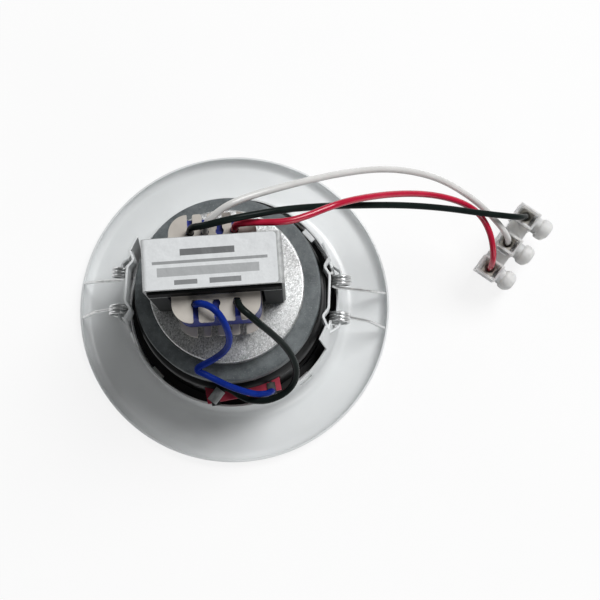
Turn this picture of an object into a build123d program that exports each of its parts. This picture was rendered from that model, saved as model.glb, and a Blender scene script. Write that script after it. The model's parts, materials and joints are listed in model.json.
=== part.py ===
from build123d import *
import math
import os

os.makedirs("parts", exist_ok=True)

# All sizes are in millimetres, z = 0 is the front face of the flange and +Z points to the back.

# Shared clearances
FIT = 0.1
SLIP = 0.05

# Trim housing, one pressed sheet
SHEET = 0.9
FLANGE_R = 63.2
LIP_H = 4.5
LIP_BEND_R = 4.05
NECK_BASE_R = 43.4
NECK_SLOPE = 0.1
NECK_BEND_R = 5.45
RIM_Z = 18.0
EAR_TOP_Z = 45.0
EAR_HALF_W = 18.2
WINDOW_HALF_W = 10.4
WINDOW_LOW_Z = 20.0
BAND_LOW_Z = 37.0
BAND_FLAT_Y = 6.3
BAND_FLAT_SINK = 1.45
BAND_DIMPLE_Y = 9.3
BAND_DIMPLE_SINK = 3.6
BAND_JOIN_Y = 13.0
BAND_END_Y = 13.8
PIN_ROOT_Y = 13.4
PIN_REACH = 5.1
PIN_LAP = 0.9
PIN_HALF_H = 2.3
TAB_COUNT = 4
TAB_FIRST_DEG = 45.0
TAB_W = 6.0
TAB_GRIP = 0.8
TAB_Z = 8.4
TAB_HOLE_H = 3.6
TAB_HOLE_DEPTH = 4.0

# Clip springs, one wire torsion spring at each end of both ears
WIRE_D = 1.2
WIRE_SWELL = 0.03
COIL_R = 3.6
COIL_PITCH = 1.3
COIL_FULL_TURNS = 3
COIL_REACH = 1.55
COIL_Z = 28.0
COIL_OUTER_Y = 9.4
TAIL_LEN = 4.2
ARM_DROP_DEG = 34.0
ARM_KINK_IN = 8.7
ARM_KINK_Y = 6.1
ARM_KINK_Z = 14.5
ARM_TIP_IN = 2.2
ARM_TIP_Y = 7.1
ARM_TIP_Z = 5.4

# Front grille and driver
GRILLE_SHEET = 0.8
GRILLE_Z = 3.0
GRILLE_GAP = 0.08
GRILLE_TOP_Z = 8.0
HOLE_RINGS = 4
HOLE_PITCH = 8.0
HOLE_R = 3.1
HOLE_SIDES = 6
BASKET_GAP = 0.4
BASKET_FLANGE_W = 4.0
BASKET_WALL_LEAN = 0.7
GASKET_INSET = 0.2
GASKET_W = 4.5
ROLL_INSET = 0.4
ROLL_W = 4.4
LAND_W = 1.4
CONE_INSET = 0.2
SURROUND_T = 0.5
SURROUND_Z = 6.8
ROLL_DEPTH = 2.4
BASKET_T = 1.0
BASKET_SHOULDER_Z = 29.9
BASKET_HOLE_R = 11.8
BASKET_BEND_R = 1.2
BASKET_WINDOWS = 8
BASKET_WINDOW_W = 15.0
BASKET_WINDOW_LOW_Z = 11.0
BASKET_WINDOW_HIGH_Z = 24.0
BASKET_WINDOW_FIRST_DEG = 12.5
CONE_T = 0.6
CONE_NECK_R = 10.42
CONE_NECK_Z = 20.3
CAP_R = 11.6
CAP_RIM_Z = 18.8
CAP_DEPTH = 4.2
CAP_T = 0.4
FORMER_IN_R = 9.9
FORMER_OUT_R = 10.15
FORMER_LOW_Z = 19.3
FORMER_HIGH_Z = 32.0
COIL_WIND_R = 10.9
COIL_WIND_LOW_Z = 28.0
COIL_WIND_HIGH_Z = 34.0
SPIDER_T = 0.4
SPIDER_PLAN = [(10.25, 25.2), (15.5, 25.2), (18.5, 26.8), (21.5, 25.2), (25.4, 25.6)]
SPIDER_RIM_IN_R = 26.2
SPIDER_RIM_OUT_R = 30.0

# Magnet motor
TOP_PLATE_T = 3.5
TOP_PLATE_STEP = 3.0
TOP_PLATE_HOLE_R = 11.3
FERRITE_T = 10.0
FERRITE_STEP = 1.7
FERRITE_HOLE_R = 17.0
FERRITE_CHAMFER = 0.8
BACK_PLATE_T = 6.0
BACK_PLATE_STEP = 6.2
BACK_PLATE_EDGE_R = 1.5
POLE_R = 9.5
POLE_END_Z = 30.6

# Tag board on the basket shoulder
BOARD_DEG = -77.0
BOARD_LOW_Z = 27.7
BOARD_T = 1.6
BOARD_LAP = 5.0
BOARD_PROUD = 3.2
BOARD_LEFT = -15.8
BOARD_RIGHT = 12.5
SLOT_LOW_Z = 25.4
SLOT_MARGIN = 0.4
RIVET_SPOTS = [-7.0, 3.0]
RIVET_INSET = 3.3
RIVET_R = 1.0
RIVET_HEAD_R = 1.35
RIVET_HEAD_H = 0.8
TAG_SPOTS = [-12.7, 8.9]
TAG_W = 3.2
TAG_T = 0.4
TAG_BACK = 0.3
TAG_PROUD = 1.2
EYELET_STEP = 0.1
EYELET_R = 0.7
EYELET_HEAD_R = 1.1
EYELET_HEAD_H = 0.3
TAG_HOLE_INSET = 1.2
TAG_HOLE_R = 0.8
TINSEL_D = 1.0
TINSEL_LEFT = [(35.9, -12.7, 26.85), (31.6, -11.9, 26.15), (28.4, -11.0, 22.6), (24.5, -9.6, 18.6),
               (19.3, -8.0, 15.35)]
TINSEL_RIGHT = [(35.9, 8.9, 26.85), (31.6, 8.4, 26.15), (28.4, 7.8, 22.6), (24.5, 6.9, 18.2),
                (19.9, 6.0, 15.4)]

# Transformer, in its own turned frame
TF_X = -2.1
TF_Y = 0.8
TF_DEG = 6.0
STRAP_T = 0.9
STRAP_FRONT = 8.25
STRAP_BACK = 9.3
STRAP_BEND_R = 1.05
FOOT_LEN = 6.0
CORE_W = 44.5
CORE_H = 33.5
CORE_STACK = 18.6
CORE_LEG = 6.2
CORE_YOKE = 6.0
CORE_CENTRE_LEG = 13.0
CORE_CORNER = 0.7
TUBE_WALL = 1.0
BOBBIN_FLANGE_W = 29.8
BOBBIN_FLANGE_L = 37.0
LOWER_FLANGE_L = 41.0
BOBBIN_FLANGE_T = 1.4
BOBBIN_CORNER_R = 6.5
UPPER_FLANGE_Z = 76.8
LOWER_FLANGE_Z = 56.9
SLOT_W = 1.9
COMB_W = 2.3
KEYHOLE_R = 1.4
FINGER_R = 0.7
MATCH = 0.01
SLOT_END = 10.9
REAR_SLOTS = [-7.5, -2.5, 2.5, 7.5]
FRONT_SLOTS = [-7.0, 0.0, 7.0]
COMB_SLOTS = [-7.5, -2.5, 2.5, 7.5]
WINDING_HALF_W = 14.1
WINDING_HALF_L = 16.5
WINDING_GAP = 0.15
WINDING_CORNER_R = 4.0
TAPE_T = 0.4
LABEL_T = 0.15
LABEL_INSET = 0.2
LABEL_BARE = 1.9
LABEL_WRAP_LOW_Z = 82.4
LABEL_CORNER_R = 1.2

# Leads
LEAD_D = 2.4
BEND_SHARE = 0.45
LEAD_START = 12.3
LEAD_RISE = 2.95
BLUE_DROP_Z = 32.6
SLEEVE_R = 2.0
SLEEVE_BORE_R = 1.25
SLEEVE_ENDS = [(-0.84, -9.91, 31.85), (2.92, -14.07, 31.85)]
SLEEVE_ENTRY_SHARE = -0.26
SLEEVE_STOP_SHARE = 0.6

# Terminal strip, in its own leaning frame
BLOCK_CENTRE = (109.4, 27.99, 12.91)
BLOCK_ROW_DEG = -123.5
BLOCK_LEAN_DEG = 12.0
POLE_PITCH = 12.4
POLE_COUNT = 3
POLE_BODY_W = 7.2
POLE_BODY_D = 9.2
BLOCK_LEN = 19.0
SOCKET_W = 5.6
SOCKET_D = 7.4
SOCKET_DEPTH = 4.6
TOWER_R = 3.8
TOWER_OUT = 11.4
TOWER_SPOT = 4.5
TOWER_END_R = 2.4
TOWER_HEAD_LEN = 5.0
TOWER_ROOT_R = 1.4
TOWER_NECK_R = 2.9
WEB_D = 8.0
WEB_LEN = 8.0
SLIT_W = 1.2
SLIT_D = 5.6
INSERT_SIDE = 5.0
INSERT_LEN = 9.6
INSERT_BORE_R = 1.9
INSERT_BORE_DEPTH = 4.2
SCREW_SPOT = 2.6
SCREW_R = 1.4
SCREW_HEAD_R = 2.0
SCREW_HEAD_H = 2.0
SCREW_TIP = 1.95
SCREW_HEAD_Y = 7.6
DRIVE_W = 0.7
DRIVE_DEPTH = 0.7

# Derived levels
def neck_r(z):
    return NECK_BASE_R - NECK_SLOPE * (z - SHEET / 2)


def wall_x(y, z):
    return math.sqrt(neck_r(z) ** 2 - y ** 2)


NECK_TOP_R = neck_r(EAR_TOP_Z)
BAND_MID_Z = (BAND_LOW_Z + EAR_TOP_Z) / 2
BAND_PLAN = [(NECK_TOP_R - BAND_FLAT_SINK, BAND_FLAT_Y), (NECK_TOP_R - BAND_DIMPLE_SINK, BAND_DIMPLE_Y),
             (wall_x(BAND_JOIN_Y, BAND_MID_Z), BAND_JOIN_Y), (wall_x(BAND_END_Y, BAND_MID_Z), BAND_END_Y)]
COIL_X = neck_r(COIL_Z) + COIL_REACH
COIL_TURNS = COIL_FULL_TURNS + (90 - ARM_DROP_DEG) / 360
COIL_LEN = COIL_PITCH * COIL_TURNS
PIN_PLAN = [(wall_x(PIN_ROOT_Y, COIL_Z), PIN_ROOT_Y), (COIL_X, COIL_OUTER_Y + WIRE_D / 2 + PIN_LAP),
            (COIL_X, COIL_OUTER_Y + WIRE_D / 2 + PIN_LAP - PIN_REACH)]
ARM_KINK = (FLANGE_R - ARM_KINK_IN, ARM_KINK_Y, ARM_KINK_Z)
ARM_TIP = (FLANGE_R - ARM_TIP_IN, ARM_TIP_Y, ARM_TIP_Z)
GRILLE_R = neck_r(GRILLE_TOP_Z) - SHEET / 2 - GRILLE_GAP
BASKET_FLANGE_R = GRILLE_R - GRILLE_SHEET - BASKET_GAP
BASKET_WALL_FOOT_R = BASKET_FLANGE_R - BASKET_FLANGE_W
BASKET_WALL_R = BASKET_WALL_FOOT_R - BASKET_WALL_LEAN
TAB_IN_R = BASKET_FLANGE_R - TAB_GRIP
TAB_OUT_R = neck_r(TAB_Z + SHEET / 2)
GASKET_OUT_R = BASKET_FLANGE_R - GASKET_INSET
GASKET_IN_R = GASKET_OUT_R - GASKET_W
ROLL_OUT_R = GASKET_IN_R - ROLL_INSET
ROLL_IN_R = ROLL_OUT_R - ROLL_W
LAND_IN_R = ROLL_IN_R - LAND_W
CONE_EDGE_R = ROLL_IN_R - CONE_INSET
FERRITE_R = BASKET_WALL_R - FERRITE_STEP
TOP_PLATE_R = FERRITE_R - TOP_PLATE_STEP
BACK_PLATE_R = FERRITE_R - BACK_PLATE_STEP
SHOULDER_TOP_Z = BASKET_SHOULDER_Z + BASKET_T / 2
SHOULDER_LOW_Z = BASKET_SHOULDER_Z - BASKET_T / 2
SURROUND_TOP_Z = SURROUND_Z + SURROUND_T
BASKET_FLANGE_Z = SURROUND_TOP_Z + BASKET_T / 2
GASKET_LOW_Z = GRILLE_Z + GRILLE_SHEET
FERRITE_Z = SHOULDER_TOP_Z + TOP_PLATE_T
BACK_PLATE_Z = FERRITE_Z + FERRITE_T
YOKE_TOP_Z = BACK_PLATE_Z + BACK_PLATE_T
CORE_Z = YOKE_TOP_Z + STRAP_T
CORE_TOP_Z = CORE_Z + CORE_H
STRAP_TOP_Z = CORE_TOP_Z + STRAP_T
LOWER_FLANGE_TOP_Z = LOWER_FLANGE_Z + BOBBIN_FLANGE_T
WINDING_TOP_Z = UPPER_FLANGE_Z - WINDING_GAP
BOARD_TOP_Z = BOARD_LOW_Z + BOARD_T
BOARD_IN = BASKET_WALL_R - BOARD_LAP
BOARD_OUT = BASKET_WALL_R + BOARD_PROUD
RIVET_DIST = BASKET_WALL_R - RIVET_INSET
EYELET_DIST = BASKET_WALL_R + EYELET_STEP
TAG_IN = EYELET_DIST - TAG_BACK
TAG_OUT = BOARD_OUT + TAG_PROUD
TAG_HOLE_DIST = TAG_OUT - TAG_HOLE_INSET
BIG = 200.0


def ring(inner, outer, low, high):
    return Pos(0, 0, low) * extrude(Circle(outer) - Circle(inner), high - low)


def disc(radius, low, high):
    return Pos(0, 0, low) * extrude(Circle(radius), high - low)


def block(x0, x1, y0, y1, z0, z1):
    size = (x1 - x0, y1 - y0, z1 - z0)
    return Pos((x0 + x1) / 2, (y0 + y1) / 2, (z0 + z1) / 2) * Box(*size)


def turned(line, thickness):
    return revolve(Plane.XZ * trace(line, thickness), Axis.Z)


def tube_path(points):
    vectors = [Vector(*p) for p in points]
    radii = []
    for before, here, after in zip(vectors, vectors[1:], vectors[2:]):
        a = here - before
        b = after - here
        half_turn = math.radians(a.get_angle(b)) / 2
        radii.append(BEND_SHARE * min(a.length, b.length) / math.tan(half_turn))
    return FilletPolyline(*points, radius=radii), radii


def tube(name, points, diameter):
    path, radii = tube_path(points)
    section = Plane(origin=path @ 0, z_dir=path % 0) * Circle(diameter / 2)
    solid = sweep(section, path=path)
    share = solid.volume / (math.pi * diameter ** 2 / 4 * path.length)
    listed = ", ".join(f"{r:.1f}" for r in radii)
    print(f"{name} radii mm {listed}; length {path.length:.1f}; volume share {share:.3f}")
    return solid


def wire_run(points, diameter):
    solid = None
    for start, end in zip(points, points[1:]):
        step = Vector(*end) - Vector(*start)
        plane = Plane(origin=start, z_dir=step)
        rod = plane * extrude(Circle(diameter / 2), step.length)
        solid = rod if solid is None else solid + rod
    for spot in points[:-1]:
        solid = solid + Pos(*spot) * Sphere(diameter / 2 + WIRE_SWELL)
    return solid


parts = {}


# Trim housing
def make_housing():
    lip_r = FLANGE_R - SHEET / 2
    line = FilletPolyline(
        (lip_r, LIP_H), (lip_r, SHEET / 2), (NECK_BASE_R, SHEET / 2), (NECK_TOP_R, EAR_TOP_Z),
        radius=[LIP_BEND_R, NECK_BEND_R])
    body = turned(line, SHEET)
    body = body - Pos(0, 0, EAR_TOP_Z) * extrude(Circle(BIG), BIG)
    for side in (1, -1):
        edge_y = sorted((side * EAR_HALF_W, side * BIG))
        body = body - block(-BIG, BIG, edge_y[0], edge_y[1], RIM_Z, BIG)
    body = body - block(-BIG, BIG, -WINDOW_HALF_W, WINDOW_HALF_W, WINDOW_LOW_Z, BIG)
    body = body - block(-BIG, BIG, -BAND_JOIN_Y, BAND_JOIN_Y, BAND_LOW_Z, BIG)
    for k in range(TAB_COUNT):
        turn = Rot(0, 0, TAB_FIRST_DEG + k * 360 / TAB_COUNT)
        hole = block(TAB_OUT_R - TAB_HOLE_DEPTH, TAB_OUT_R + TAB_HOLE_DEPTH, -TAB_W / 2, TAB_W / 2,
                     TAB_Z + SHEET, TAB_Z + SHEET + TAB_HOLE_H)
        tab = block(TAB_IN_R, TAB_OUT_R, -TAB_W / 2, TAB_W / 2, TAB_Z, TAB_Z + SHEET)
        body = body - turn * hole
        body = body + turn * tab
    band_h = EAR_TOP_Z - BAND_LOW_Z
    plan = [(x, -y) for x, y in reversed(BAND_PLAN)] + BAND_PLAN
    band = Pos(0, 0, BAND_LOW_Z) * extrude(trace(Polyline(*plan), SHEET), band_h)
    pins = []
    for side in (1, -1):
        pin_plan = [(x, side * y) for x, y in PIN_PLAN]
        sheet = Pos(0, 0, COIL_Z - PIN_HALF_H) * trace(Polyline(*pin_plan), SHEET)
        pins.append(extrude(sheet, 2 * PIN_HALF_H))
    ear = band + pins
    return body + ear + mirror(ear, about=Plane.YZ)


parts["trim_housing"] = make_housing()


# Clip springs
def make_spring():
    line = Helix(COIL_PITCH, COIL_LEN, COIL_R)
    section = Plane(origin=line @ 0, z_dir=line % 0) * Circle(WIRE_D / 2)
    coil = sweep(section, path=line, is_frenet=True)
    frame = Plane(origin=(COIL_X, COIL_OUTER_Y, COIL_Z), x_dir=(1, 0, 0), z_dir=(0, -1, 0))
    coil = frame * (Rot(0, 0, 180) * coil)
    leave = math.radians(-90 - ARM_DROP_DEG)
    root = (COIL_X + COIL_R * math.cos(leave), COIL_OUTER_Y - COIL_LEN, COIL_Z + COIL_R * math.sin(leave))
    tail_root = (COIL_X - COIL_R, COIL_OUTER_Y, COIL_Z)
    tail_tip = (COIL_X - COIL_R, COIL_OUTER_Y, COIL_Z + TAIL_LEN)
    arm = wire_run([root, ARM_KINK, ARM_TIP], WIRE_D)
    tail = wire_run([tail_root, tail_tip], WIRE_D)
    return coil + arm + tail


spring = make_spring()
parts["right_rear_spring"] = spring
parts["right_front_spring"] = mirror(spring, about=Plane.XZ)
parts["left_rear_spring"] = mirror(spring, about=Plane.YZ)
parts["left_front_spring"] = mirror(mirror(spring, about=Plane.XZ), about=Plane.YZ)


# Front grille
def make_grille():
    cup = disc(GRILLE_R, GRILLE_Z, GRILLE_TOP_Z)
    cup = cup - disc(GRILLE_R - GRILLE_SHEET, GASKET_LOW_Z, BIG)
    spots = []
    for i in range(-HOLE_RINGS, HOLE_RINGS + 1):
        for j in range(-HOLE_RINGS, HOLE_RINGS + 1):
            if abs(i + j) <= HOLE_RINGS:
                spots.append((HOLE_PITCH * (i + j / 2), HOLE_PITCH * j * math.sqrt(3) / 2))
    shape = RegularPolygon(HOLE_R, HOLE_SIDES)
    holes = [Pos(x, y, 0) * extrude(shape, GASKET_LOW_Z + SHEET) for x, y in spots]
    return cup - holes


parts["front_grille"] = make_grille()
parts["gasket"] = ring(GASKET_IN_R, GASKET_OUT_R, GASKET_LOW_Z, SURROUND_Z)

# Driver: surround, basket, cone, cap, former, coil, spider
surround_mid = SURROUND_Z + SURROUND_T / 2
parts["surround"] = turned(Polyline(
    (GASKET_OUT_R, surround_mid), (ROLL_OUT_R, surround_mid),
    ((ROLL_OUT_R + ROLL_IN_R) / 2, surround_mid - ROLL_DEPTH),
    (ROLL_IN_R, surround_mid), (LAND_IN_R, surround_mid)), SURROUND_T)


def board_frame(distance, along, z):
    return Rot(0, 0, BOARD_DEG) * Pos(distance, along, z)


def board_block(d0, d1, a0, a1, z0, z1):
    return Rot(0, 0, BOARD_DEG) * block(d0, d1, a0, a1, z0, z1)


def make_basket():
    line = FilletPolyline(
        (BASKET_FLANGE_R, BASKET_FLANGE_Z), (BASKET_WALL_FOOT_R, BASKET_FLANGE_Z),
        (BASKET_WALL_R, BASKET_SHOULDER_Z), (BASKET_HOLE_R, BASKET_SHOULDER_Z), radius=BASKET_BEND_R)
    body = turned(line, BASKET_T)
    for k in range(BASKET_WINDOWS):
        cut = block(LAND_IN_R, BASKET_FLANGE_R, -BASKET_WINDOW_W / 2, BASKET_WINDOW_W / 2,
                    BASKET_WINDOW_LOW_Z, BASKET_WINDOW_HIGH_Z)
        body = body - Rot(0, 0, BASKET_WINDOW_FIRST_DEG + k * 360 / BASKET_WINDOWS) * cut
    body = body - board_block(BOARD_IN - SLOT_MARGIN, BASKET_FLANGE_R, BOARD_LEFT - SLOT_MARGIN,
                              BOARD_RIGHT + SLOT_MARGIN, SLOT_LOW_Z, SHOULDER_LOW_Z)
    for along in RIVET_SPOTS:
        body = body - board_frame(RIVET_DIST, along, 0) * extrude(Circle(RIVET_R + SLIP), BIG)
    return body


parts["basket"] = make_basket()
cone_edge_z = SURROUND_TOP_Z + CONE_T / 2
parts["cone"] = turned(Polyline(
    (CONE_EDGE_R, cone_edge_z), (LAND_IN_R, cone_edge_z), (CONE_NECK_R, CONE_NECK_Z)), CONE_T)
cap_line = ThreePointArc((0, CAP_RIM_Z - CAP_DEPTH), (CAP_R / 2, CAP_RIM_Z - CAP_DEPTH * 3 / 4),
                         (CAP_R, CAP_RIM_Z))
cap_outer = make_face([cap_line, Line((CAP_R, CAP_RIM_Z), (0, CAP_RIM_Z)),
                       Line((0, CAP_RIM_Z), (0, CAP_RIM_Z - CAP_DEPTH))])
cap_shape = revolve(Plane.XZ * cap_outer, Axis.Z)
parts["dust_cap"] = cap_shape - Pos(0, 0, CAP_T) * cap_shape
parts["coil_former"] = ring(FORMER_IN_R, FORMER_OUT_R, FORMER_LOW_Z, FORMER_HIGH_Z)
parts["voice_coil"] = ring(FORMER_OUT_R, COIL_WIND_R, COIL_WIND_LOW_Z, COIL_WIND_HIGH_Z)
spider_rim_z = SHOULDER_LOW_Z - SPIDER_T / 2
parts["spider"] = turned(Polyline(
    *SPIDER_PLAN, (SPIDER_RIM_IN_R, spider_rim_z), (SPIDER_RIM_OUT_R, spider_rim_z)), SPIDER_T)

# Magnet motor
parts["top_plate"] = ring(TOP_PLATE_HOLE_R, TOP_PLATE_R, SHOULDER_TOP_Z, FERRITE_Z)
ferrite = ring(FERRITE_HOLE_R, FERRITE_R, FERRITE_Z, BACK_PLATE_Z)
ferrite_rims = ferrite.edges().filter_by(GeomType.CIRCLE).sort_by(SortBy.RADIUS)[-2:]
parts["ferrite_magnet"] = chamfer(ferrite_rims, FERRITE_CHAMFER)
yoke = disc(BACK_PLATE_R, BACK_PLATE_Z, YOKE_TOP_Z)
yoke_rim = yoke.edges().filter_by(GeomType.CIRCLE).group_by(Axis.Z)[-1]
parts["back_plate"] = fillet(yoke_rim, BACK_PLATE_EDGE_R) + disc(POLE_R, POLE_END_Z, BACK_PLATE_Z)


# Tag board, rivets, tags
def make_board():
    board = board_block(BOARD_IN, BOARD_OUT, BOARD_LEFT, BOARD_RIGHT, BOARD_LOW_Z, BOARD_TOP_Z)
    for along in RIVET_SPOTS:
        board = board - board_frame(RIVET_DIST, along, 0) * extrude(Circle(RIVET_R + SLIP), BIG)
    for along in TAG_SPOTS:
        board = board - board_frame(EYELET_DIST, along, 0) * extrude(Circle(EYELET_R + SLIP), BIG)
    return board


def stacked(radius_levels):
    solid = None
    for radius, low, high in radius_levels:
        piece = disc(radius, low, high)
        solid = piece if solid is None else solid + piece
    return solid


parts["tag_board"] = make_board()
rivet = stacked([(RIVET_HEAD_R, BOARD_LOW_Z - RIVET_HEAD_H, BOARD_LOW_Z),
                 (RIVET_R, BOARD_LOW_Z, SHOULDER_TOP_Z),
                 (RIVET_HEAD_R, SHOULDER_TOP_Z, SHOULDER_TOP_Z + RIVET_HEAD_H)])
parts["tag_rivets"] = Compound(children=[board_frame(RIVET_DIST, a, 0) * rivet for a in RIVET_SPOTS])
tag_top_z = BOARD_TOP_Z + TAG_T
tag = block(TAG_IN, TAG_OUT, -TAG_W / 2, TAG_W / 2, BOARD_TOP_Z, tag_top_z)
tag = tag - Pos(TAG_HOLE_DIST, 0, 0) * extrude(Circle(TAG_HOLE_R), BIG)
tag = tag + Pos(EYELET_DIST, 0, 0) * stacked([
    (EYELET_HEAD_R, BOARD_LOW_Z - EYELET_HEAD_H, BOARD_LOW_Z), (EYELET_R, BOARD_LOW_Z, BOARD_TOP_Z)])
parts["solder_tags"] = Compound(children=[
    Rot(0, 0, BOARD_DEG) * (Pos(0, a, 0) * tag) for a in TAG_SPOTS])


def board_points(points):
    turn = math.radians(BOARD_DEG)
    c = math.cos(turn)
    s = math.sin(turn)
    return [(d * c - a * s, d * s + a * c, z) for d, a, z in points]


parts["tinsel_leads"] = Compound(children=[
    tube("tinsel_left", board_points(TINSEL_LEFT), TINSEL_D),
    tube("tinsel_right", board_points(TINSEL_RIGHT), TINSEL_D)])

# Transformer
TF = Pos(TF_X, TF_Y, 0) * Rot(0, 0, TF_DEG)
half_w = CORE_W / 2
half_stack = CORE_STACK / 2
yoke_low_z = CORE_TOP_Z - CORE_YOKE
window_low_z = CORE_Z + CORE_YOKE
core_e = block(-half_w, half_w, -half_stack, half_stack, CORE_Z, window_low_z)
core_e = core_e + block(-CORE_CENTRE_LEG / 2, CORE_CENTRE_LEG / 2, -half_stack, half_stack,
                        window_low_z, yoke_low_z)
for side in (1, -1):
    leg = sorted((side * half_w, side * (half_w - CORE_LEG)))
    core_e = core_e + block(leg[0], leg[1], -half_stack, half_stack, window_low_z, yoke_low_z)
core_i = block(-half_w, half_w, -half_stack, half_stack, yoke_low_z, CORE_TOP_Z)


def outer_corners(shape, top):
    edges = shape.edges().filter_by(Axis.Y).group_by(Axis.Z)[-1 if top else 0]
    return chamfer(edges, CORE_CORNER)


parts["core_e"] = TF * outer_corners(core_e, False)
parts["core_i"] = TF * outer_corners(core_i, True)


def prism(sketch, low, high):
    return Pos(0, 0, low) * extrude(sketch, high - low)


tube_in_w = CORE_CENTRE_LEG + 2 * FIT
tube_in_l = CORE_STACK + 2 * FIT
tube_out_w = tube_in_w + 2 * TUBE_WALL
tube_out_l = tube_in_l + 2 * TUBE_WALL


def lead_slots(spots, side, width, eye):
    cuts = None
    for x in spots:
        y0, y1 = sorted((side * SLOT_END, side * BOBBIN_FLANGE_L))
        cut = Pos(x, (y0 + y1) / 2) * Rectangle(width, y1 - y0)
        if eye:
            cut = cut + Pos(x, side * LEAD_START) * Circle(eye)
        cuts = cut if cuts is None else cuts + cut
    return cuts


def round_fingers(plate, length):
    flat = BOBBIN_FLANGE_W / 2 - BOBBIN_CORNER_R - MATCH
    corners = plate.edges().filter_by(Axis.Z)
    ends = [e for e in corners if length / 2 - abs(e.center().Y) < MATCH and abs(e.center().X) < flat]
    return fillet(ends, FINGER_R)


def make_bobbin():
    flange = RectangleRounded(BOBBIN_FLANGE_W, BOBBIN_FLANGE_L, BOBBIN_CORNER_R)
    bore = Rectangle(tube_in_w, tube_in_l)
    upper = flange - bore - lead_slots(REAR_SLOTS, 1, SLOT_W, KEYHOLE_R)
    upper = upper - lead_slots(FRONT_SLOTS, -1, SLOT_W, KEYHOLE_R)
    foot = RectangleRounded(BOBBIN_FLANGE_W, LOWER_FLANGE_L, BOBBIN_CORNER_R)
    lower = foot - bore - lead_slots(COMB_SLOTS, -1, COMB_W, 0)
    wall = Rectangle(tube_out_w, tube_out_l) - bore
    body = prism(wall, LOWER_FLANGE_Z, UPPER_FLANGE_Z + BOBBIN_FLANGE_T)
    body = body + round_fingers(prism(lower, LOWER_FLANGE_Z, LOWER_FLANGE_TOP_Z), LOWER_FLANGE_L)
    comb = prism(upper, UPPER_FLANGE_Z, UPPER_FLANGE_Z + BOBBIN_FLANGE_T)
    return body + round_fingers(comb, BOBBIN_FLANGE_L)


parts["bobbin"] = TF * make_bobbin()
winding_outer = RectangleRounded(2 * WINDING_HALF_W, 2 * WINDING_HALF_L, WINDING_CORNER_R)
winding_hole = Rectangle(tube_out_w + 2 * SLIP, tube_out_l + 2 * SLIP)
parts["winding"] = TF * prism(winding_outer - winding_hole, LOWER_FLANGE_TOP_Z, WINDING_TOP_Z)
tape_outer = RectangleRounded(2 * (WINDING_HALF_W + TAPE_T), 2 * (WINDING_HALF_L + TAPE_T),
                              WINDING_CORNER_R + TAPE_T)
parts["tape_wrap"] = TF * prism(tape_outer - winding_outer, LOWER_FLANGE_TOP_Z, WINDING_TOP_Z)


def across(profile, front, back):
    return Pos(0, back, 0) * extrude(Plane.XZ * profile, front + back)


strap_x = half_w + FIT + STRAP_T / 2
strap_top = CORE_TOP_Z + STRAP_T / 2
strap_foot = YOKE_TOP_Z + STRAP_T / 2
strap_line = FilletPolyline(
    (-strap_x + FOOT_LEN, strap_foot), (-strap_x, strap_foot), (-strap_x, strap_top),
    (strap_x, strap_top), (strap_x, strap_foot), (strap_x - FOOT_LEN, strap_foot), radius=STRAP_BEND_R)
strap = across(trace(strap_line, STRAP_T), STRAP_FRONT, STRAP_BACK)
parts["transformer_bracket"] = TF * strap


def make_label():
    side_x = -strap_x - STRAP_T / 2 - LABEL_T / 2
    top_z = STRAP_TOP_Z + LABEL_T / 2
    bend = STRAP_BEND_R + STRAP_T / 2 + LABEL_T / 2
    right_x = strap_x + STRAP_T / 2 - LABEL_BARE
    line = FilletPolyline((side_x, LABEL_WRAP_LOW_Z), (side_x, top_z), (right_x, top_z), radius=bend)
    sheet = across(trace(line, LABEL_T), STRAP_FRONT - LABEL_INSET, STRAP_BACK - LABEL_INSET)
    corners = sheet.edges().filter_by(Axis.Z).group_by(Axis.X)[-1]
    return fillet(corners, LABEL_CORNER_R)


parts["label"] = TF * make_label()


def slot_points(slot_x, side):
    turn = math.radians(TF_DEG)
    y = side * LEAD_START
    spot = (TF_X + slot_x * math.cos(turn) - y * math.sin(turn),
            TF_Y + slot_x * math.sin(turn) + y * math.cos(turn))
    return [(*spot, WINDING_TOP_Z), (*spot, WINDING_TOP_Z + LEAD_RISE)]


SLEEVE_FROM, SLEEVE_TO = board_points([(BASKET_WALL_R + d, a, z) for d, a, z in SLEEVE_ENDS])


def on_sleeve(share):
    return tuple(a + share * (b - a) for a, b in zip(SLEEVE_FROM, SLEEVE_TO))


# Leads, listed from the winding to the far end
SLEEVE_ENTRY = on_sleeve(SLEEVE_ENTRY_SHARE)
SLEEVE_STOP = on_sleeve(SLEEVE_STOP_SHARE)
BLUE_END = board_points([(TAG_HOLE_DIST, TAG_SPOTS[1], z) for z in (BLUE_DROP_Z, tag_top_z)])
WHITE_RUN = slot_points(REAR_SLOTS[1], 1) + [
    (-5.0, 14.8, 82.4), (-2.1, 17.5, 84.0), (2.0, 20.6, 84.5), (7.5, 23.7, 83.0), (15.6, 27.8, 79.0),
    (27.3, 33.2, 73.0), (40.3, 39.0, 65.0), (54.4, 43.8, 56.5), (66.7, 45.6, 49.0), (78.1, 44.8, 43.0),
    (88.3, 41.1, 38.0), (97.0, 35.7, 34.5), (103.2, 30.1, 32.0), (106.6, 26.9, 28.6)]
BLACK_RUN = slot_points(REAR_SLOTS[0], 1) + [
    (-9.8, 12.9, 83.4), (-5.7, 12.7, 86.3), (0.6, 14.2, 88.0), (9.6, 16.9, 86.5), (21.0, 20.8, 81.0),
    (34.5, 24.4, 73.5), (48.7, 27.7, 64.5), (63.7, 30.7, 55.5), (79.4, 32.3, 47.5), (93.6, 32.6, 41.0),
    (104.4, 33.0, 36.5), (111.3, 33.8, 32.2)]
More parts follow.
